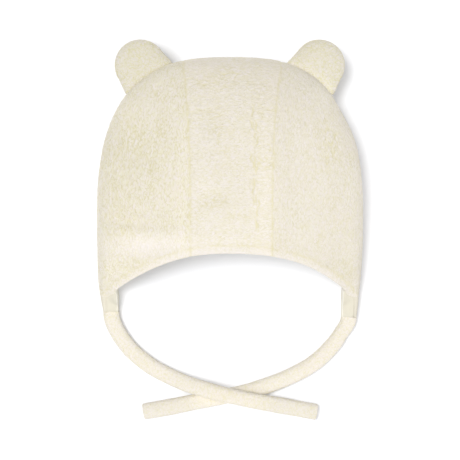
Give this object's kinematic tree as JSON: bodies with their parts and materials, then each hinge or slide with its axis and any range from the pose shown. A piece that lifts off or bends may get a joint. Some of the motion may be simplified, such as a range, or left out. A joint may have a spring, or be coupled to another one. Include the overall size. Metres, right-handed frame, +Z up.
{
  "type": "baby hat with ears",
  "caption": "Soft baby bonnet with padded round ears on the crown, ear flaps and long fabric ties, lying on its back with its mouth open.",
  "frame": {"origin": "under the middle of the hat's own box without its ties, on the surface it lies on", "axes": "+Z up out of the lying hat's front, +Y from its mouth towards its crown and ears, +X to the right"},
  "size_m": [0.198, 0.2844, 0.0619],
  "materials": {
    "fleece": "matt short-pile fleece",
    "jersey": "matt fine knit"
  },
  "bodies": {
    "root": {"centre_panel": "fleece", "side_panel_left": "fleece", "side_panel_right": "fleece", "ear_left": "fleece", "ear_right": "fleece", "tie_left": "fleece", "tie_right": "fleece", "lining": "jersey"}
  },
  "joints": []
}
